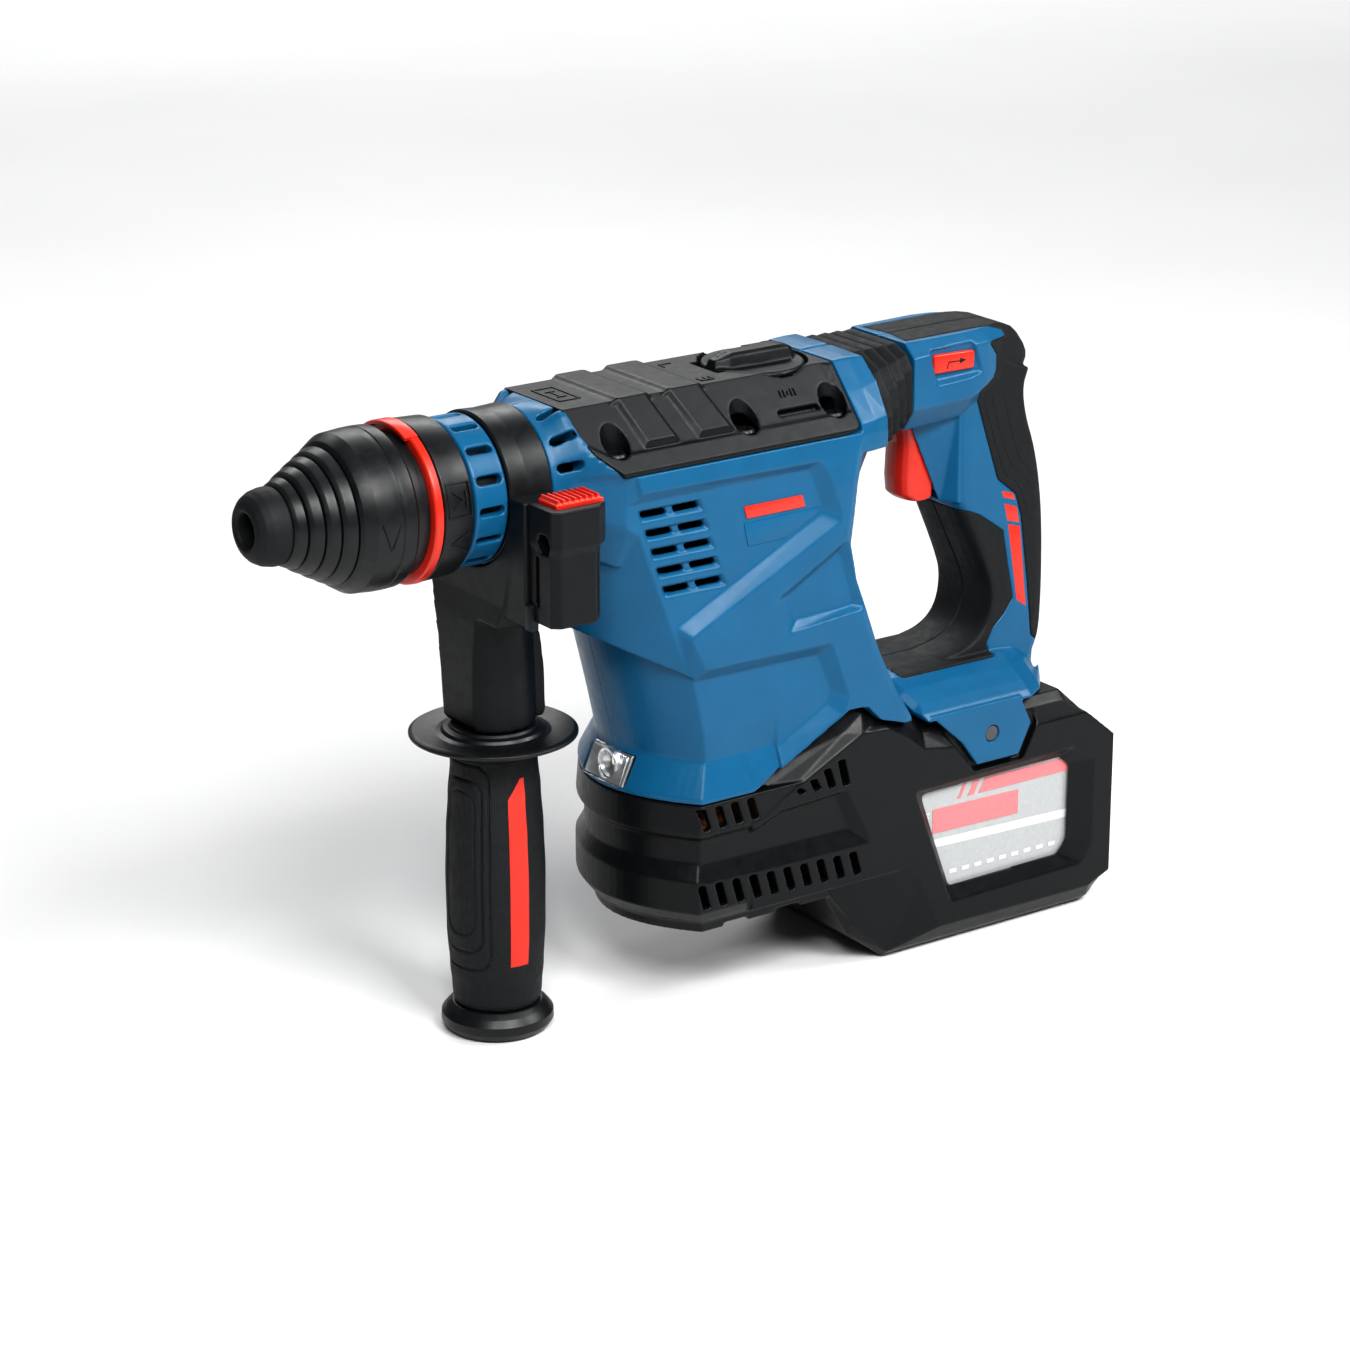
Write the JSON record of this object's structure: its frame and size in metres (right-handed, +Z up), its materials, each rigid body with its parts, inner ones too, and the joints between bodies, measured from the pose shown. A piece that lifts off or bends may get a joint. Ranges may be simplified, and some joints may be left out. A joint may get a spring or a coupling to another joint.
{
  "type": "rotary hammer",
  "caption": "Cordless rotary hammer with stepped chuck, swivelling side handle with depth-stop clamp, sprung D-handle with trigger and a slide-in battery inside a guard.",
  "frame": {"origin": "middle of the battery guard's flat underside, on the mid-plane, 300 mm behind the nose and 207 mm below the spindle axis", "axes": "+X runs back along the spindle axis from the chuck to the handle, +Y is to the tool's right-hand far side, +Z is up; the tool stands on Z = 0"},
  "size_m": [0.3618, 0.094, 0.24],
  "materials": {
    "blue_shell": "fine moulded grain, slightly satin",
    "black_shell": "fine moulded grain, satin",
    "soft_grip": "soft overmoulded elastomer, matt",
    "red_accent": "smooth satin",
    "steel": "ground and oiled",
    "dark_steel": "hardened, dark oiled",
    "copper_winding": "varnished winding wire over laminations",
    "cast_alloy": "as cast",
    "clear_lens": "clear moulded lens, glossy",
    "board_green": "potted circuit board",
    "battery_shell": "fine moulded grain"
  },
  "bodies": {
    "housing": {"housing_left": "blue_shell", "housing_right": "blue_shell", "front_housing": "blue_shell", "gear_cover": "black_shell", "lamp_lens": "clear_lens", "lamp_reflector": "cast_alloy", "handle_damper": "soft_grip", "bellows": "soft_grip", "spindle_bearing": "steel", "spindle_seal": "soft_grip", "gearbox_frame": "cast_alloy", "stator": "copper_winding", "motor_bearing_lower": "steel", "motor_bearing_upper": "steel", "controller_board": "board_green", "base_guard": "black_shell", "pivot_shaft": "dark_steel", "battery_rail": "black_shell"},
    "spindle": {"tool_holder": "steel", "hammer_tube": "steel", "chuck_body": "dark_steel", "sleeve_spring": "steel", "dust_cap": "soft_grip", "bevel_ring_gear": "dark_steel", "locking_roller_upper": "dark_steel", "locking_roller_lower": "dark_steel"},
    "locking_sleeve": {"locking_sleeve": "black_shell"},
    "change_ring": {"change_ring": "black_shell", "red_line_ring": "red_accent"},
    "striker": {"striker": "steel"},
    "beat_piece": {"beat_piece": "dark_steel"},
    "motor_rotor": {"rotor": "dark_steel", "cooling_fan": "black_shell"},
    "crank": {"crank_gear": "dark_steel"},
    "drive_shaft": {"bevel_drive_shaft": "dark_steel"},
    "piston": {"piston": "cast_alloy"},
    "connecting_rod": {"connecting_rod": "cast_alloy"},
    "mode_knob": {"mode_knob": "black_shell", "selector_cam": "cast_alloy"},
    "handle": {"handle_left": "blue_shell", "handle_right": "blue_shell", "handle_rear_pad": "soft_grip", "handle_front_pad": "soft_grip", "switch_module": "black_shell"},
    "trigger": {"trigger": "red_accent"},
    "direction_switch": {"direction_switch": "red_accent"},
    "battery": {"battery_case_lower": "battery_shell", "battery_case_upper": "battery_shell", "battery_cells": "steel"},
    "battery_button": {"battery_button": "red_accent"},
    "side_handle": {"clamp_band": "black_shell", "handle_bracket": "black_shell", "clamp_bolt": "steel", "depth_stop_block": "black_shell"},
    "depth_button": {"depth_button": "red_accent"},
    "side_grip": {"side_grip_core": "black_shell", "side_grip_sleeve": "soft_grip", "grip_nut": "steel"}
  },
  "joints": [
    {"name": "spindle_spin", "type": "hinge", "parent": "housing", "child": "spindle", "pos_m": [-0.3, 0, 0.207], "axis": [1, 0, 0], "continuous": true},
    {"name": "rotor_spin", "type": "hinge", "parent": "housing", "child": "motor_rotor", "pos_m": [-0.121, 0, 0.107], "axis": [0, 0, 1], "continuous": true},
    {"name": "crank_spin", "type": "hinge", "parent": "housing", "child": "crank", "pos_m": [-0.09162, 0, 0.157], "axis": [0, 0, 1], "continuous": true},
    {"name": "drive_shaft_spin", "type": "hinge", "parent": "housing", "child": "drive_shaft", "pos_m": [-0.14163, 0, 0.157], "axis": [0, 0, 1], "continuous": true},
    {"name": "sleeve_pull", "type": "slide", "parent": "spindle", "child": "locking_sleeve", "axis": [1, 0, 0], "range_m": [0, 0.0038], "stiffness_N_per_m": 2000, "springref_m": -0.004},
    {"name": "change_ring_turn", "type": "hinge", "parent": "spindle", "child": "change_ring", "pos_m": [-0.234, 0, 0.207], "axis": [1, 0, 0], "range_deg": [0, 30], "stiffness_Nm_per_rad": 0.6, "springref_deg": -8.59},
    {"name": "striker_slide", "type": "slide", "parent": "spindle", "child": "striker", "axis": [1, 0, 0], "range_m": [-0.008, 0.006]},
    {"name": "beat_piece_slide", "type": "slide", "parent": "spindle", "child": "beat_piece", "axis": [1, 0, 0], "range_m": [-0.004, 0]},
    {"name": "piston_slide", "type": "slide", "parent": "housing", "child": "piston", "axis": [1, 0, 0], "range_m": [0, 0.016]},
    {"name": "connecting_rod_swing", "type": "hinge", "parent": "piston", "child": "connecting_rod", "pos_m": [-0.13512, 0, 0.207], "axis": [0, 0, 1], "range_deg": [-13, 13]},
    {"name": "mode_knob_turn", "type": "hinge", "parent": "housing", "child": "mode_knob", "pos_m": [-0.086, 0, 0.235], "axis": [0, 0, 1], "range_deg": [-90, 90]},
    {"name": "handle_rock", "type": "hinge", "parent": "housing", "child": "handle", "pos_m": [0, 0, 0.083], "axis": [0, 1, 0], "range_deg": [-1.5, 0], "stiffness_Nm_per_rad": 250, "springref_deg": 1.15},
    {"name": "trigger_pull", "type": "slide", "parent": "handle", "child": "trigger", "axis": [1, 0, 0], "range_m": [0, 0.0065], "stiffness_N_per_m": 700, "springref_m": -0.004},
    {"name": "direction_switch_slide", "type": "slide", "parent": "handle", "child": "direction_switch", "axis": [0, 1, 0], "range_m": [-0.0015, 0.0015]},
    {"name": "battery_slide", "type": "slide", "parent": "housing", "child": "battery", "axis": [1, 0, 0], "range_m": [0, 0.1]},
    {"name": "battery_button_press", "type": "slide", "parent": "battery", "child": "battery_button", "axis": [-1, 0, 0], "range_m": [0, 0.003], "stiffness_N_per_m": 900, "springref_m": -0.003},
    {"name": "side_handle_swivel", "type": "hinge", "parent": "housing", "child": "side_handle", "pos_m": [-0.2009, 0, 0.207], "axis": [1, 0, 0], "continuous": true},
    {"name": "depth_button_press", "type": "slide", "parent": "side_handle", "child": "depth_button", "axis": [0, 0, -1], "range_m": [0, 0.0022], "stiffness_N_per_m": 800, "springref_m": -0.003},
    {"name": "side_grip_turn", "type": "hinge", "parent": "side_handle", "child": "side_grip", "pos_m": [-0.2009, 0, 0.057], "axis": [0, 0, 1], "continuous": true}
  ],
  "couplings": [
    {"joint": "drive_shaft_spin", "follows": "spindle_spin", "ratio": -2.4},
    {"joint": "rotor_spin", "follows": "spindle_spin", "ratio": 6.4},
    {"joint": "crank_spin", "follows": "spindle_spin", "ratio": -1.5158}
  ]
}
